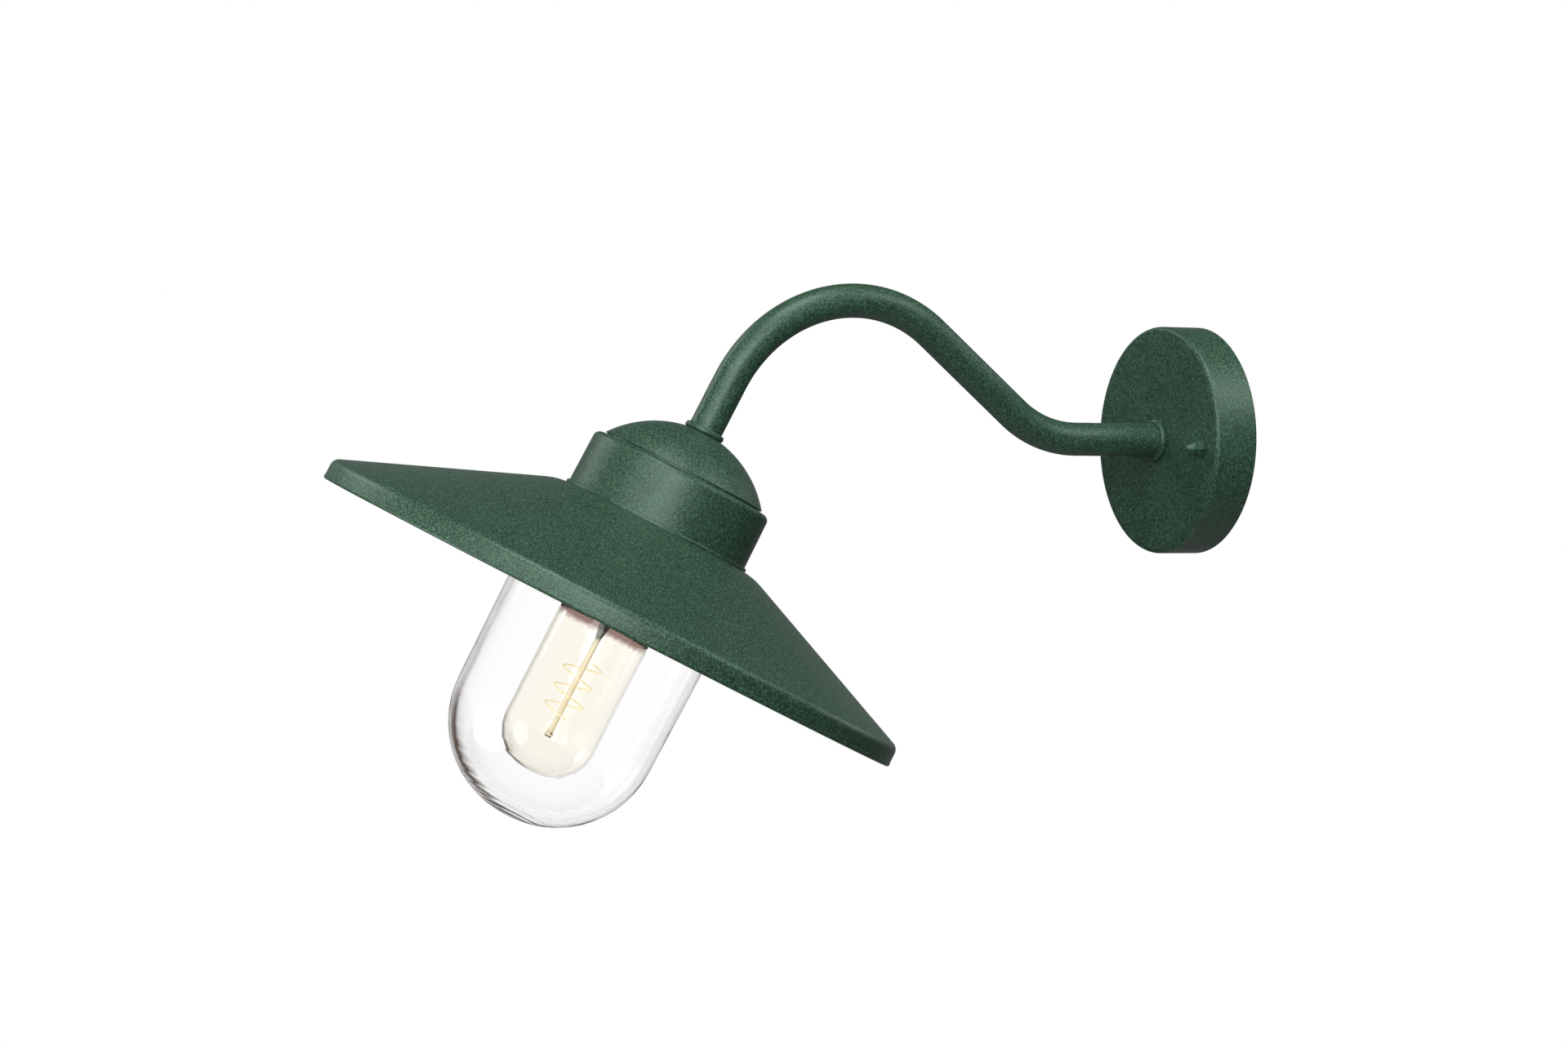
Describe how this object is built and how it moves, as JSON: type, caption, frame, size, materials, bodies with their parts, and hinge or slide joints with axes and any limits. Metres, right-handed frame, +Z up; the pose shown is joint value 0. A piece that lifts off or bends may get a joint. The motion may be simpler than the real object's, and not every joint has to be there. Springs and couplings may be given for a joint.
{
  "type": "gooseneck wall sconce",
  "caption": "Gooseneck wall light: round wall plate, bent tube arm, domed head, wide shallow cone shade over a clear screw-in glass jar with a tubular bulb.",
  "frame": {"origin": "centre of the wall plate's back face, on the wall", "axes": "+Y into the wall, -Y out of it along the arm's first run, +Z up, +X to the right seen from the room"},
  "size_m": [0.2908, 0.4387, 0.2546],
  "materials": {
    "powder_coat": "dark green fine-textured powder coat",
    "zinc_steel": "zinc-plated steel",
    "brass": "plain brass",
    "cap_metal": "drawn aluminium",
    "jar_glass": "clear pressed glass",
    "bulb_glass": "clear blown glass with a faint warm tint",
    "stem_glass": "amber glass rod",
    "filament_wire": "pale fine wire",
    "black_glass": "black insulating glass",
    "bakelite": "dark brown moulded phenolic",
    "porcelain": "glazed porcelain",
    "nylon": "natural moulded nylon",
    "rubber": "black foam or rubber",
    "silicone": "translucent silicone rubber",
    "lead_sheath": "white flexible sheath",
    "brown_wire": "brown insulation",
    "blue_wire": "blue insulation",
    "earth_wire": "green and yellow insulation"
  },
  "bodies": {
    "root": {"arm_tube": "powder_coat", "block_screw": "zinc_steel", "bracket_studs": "zinc_steel", "canopy": "powder_coat", "cap_nuts": "powder_coat", "centre_contact": "brass", "dome_cap": "powder_coat", "earth_core": "earth_wire", "earth_lug": "cap_metal", "earth_screw": "zinc_steel", "gallery_ring": "zinc_steel", "gallery_screws": "zinc_steel", "head_bush": "nylon", "head_collar": "powder_coat", "head_lock_nut": "zinc_steel", "head_lock_washer": "zinc_steel", "head_pipe": "zinc_steel", "head_plug": "zinc_steel", "holder_body": "bakelite", "holder_cap": "bakelite", "holder_core": "porcelain", "holder_cores": "brown_wire", "holder_strap": "zinc_steel", "holder_terminals": "brass", "lamp_lead": "lead_sheath", "live_core": "brown_wire", "mounting_bracket": "zinc_steel", "neck_ring": "powder_coat", "neutral_core": "blue_wire", "shade": "powder_coat", "shade_gasket": "rubber", "strap_nut": "zinc_steel", "terminal_barrels": "brass", "terminal_block": "nylon", "terminal_screws": "zinc_steel", "thread_shell": "brass", "wall_bush": "nylon", "wall_collar": "powder_coat", "wall_gasket": "rubber", "wall_lock_nut": "zinc_steel", "wall_lock_washer": "zinc_steel", "wall_pipe": "zinc_steel", "wall_plug": "zinc_steel"},
    "glass_seal": {"glass_gasket": "silicone"},
    "glass": {"glass_jar": "jar_glass"},
    "bulb_tip": {"bulb_contact": "cap_metal"},
    "bulb": {"bulb_glass": "bulb_glass", "bulb_cap": "cap_metal", "bulb_insulator": "black_glass", "bulb_stem": "stem_glass", "filament": "filament_wire", "filament_supports": "filament_wire"}
  },
  "joints": [
    {"name": "glass_drop", "type": "slide", "parent": "root", "child": "glass_seal", "axis": [0, -0.4226, -0.9063], "range_m": [0, 0.008]},
    {"name": "glass_turn", "type": "hinge", "parent": "glass_seal", "child": "glass", "pos_m": [0, -0.30697, -0.08761], "axis": [0, -0.4226, -0.9063], "range_deg": [0, 720]},
    {"name": "bulb_drop", "type": "slide", "parent": "root", "child": "bulb_tip", "axis": [0, -0.4226, -0.9063], "range_m": [0, 0.0127]},
    {"name": "bulb_turn", "type": "hinge", "parent": "bulb_tip", "child": "bulb", "pos_m": [0, -0.30697, -0.08761], "axis": [0, -0.4226, -0.9063], "range_deg": [0, 1260]}
  ],
  "couplings": [
    {"joint": "glass_drop", "follows": "glass_turn", "m_per_rad": 0.00063662},
    {"joint": "bulb_drop", "follows": "bulb_turn", "m_per_rad": 0.00057757}
  ]
}
